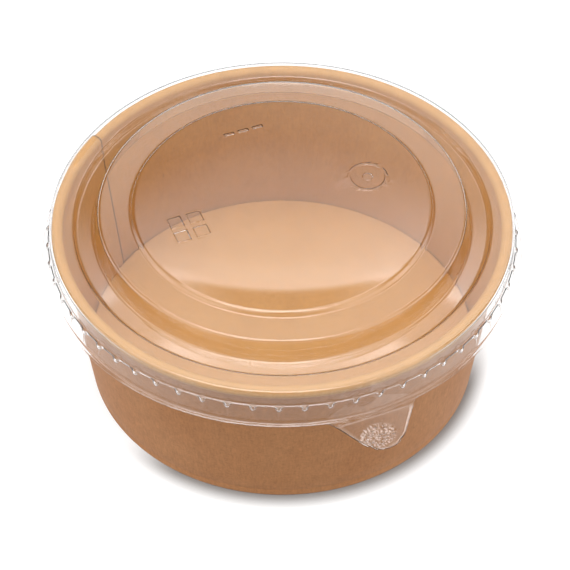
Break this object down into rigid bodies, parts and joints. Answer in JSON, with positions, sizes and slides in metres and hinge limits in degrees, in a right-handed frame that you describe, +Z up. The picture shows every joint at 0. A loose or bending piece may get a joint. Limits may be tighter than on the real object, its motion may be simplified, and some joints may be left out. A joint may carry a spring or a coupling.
{
  "type": "paper salad bowl",
  "caption": "Round kraft-paper salad bowl with a rolled rim, closed by a clear stepped press-on lid with a ring of lugs and a pull tab.",
  "frame": {"origin": "on the table, under the middle of the outline seen from above, pull tab included; the bowl's own axis is 5.9 mm from it towards +Y", "axes": "+Z up along the bowl's axis, -Y towards the pull tab, +X to the right of the tab seen from the front"},
  "size_m": [0.1568, 0.1686, 0.0707],
  "materials": {
    "kraft_board": "smooth brown kraft board with fine fibres and a thin clear lining, faint satin sheen",
    "clear_plastic": "clear thermoformed sheet, glossy"
  },
  "bodies": {
    "root": {"side_wall": "kraft_board", "base_disc": "kraft_board", "lid": "clear_plastic"}
  },
  "joints": []
}
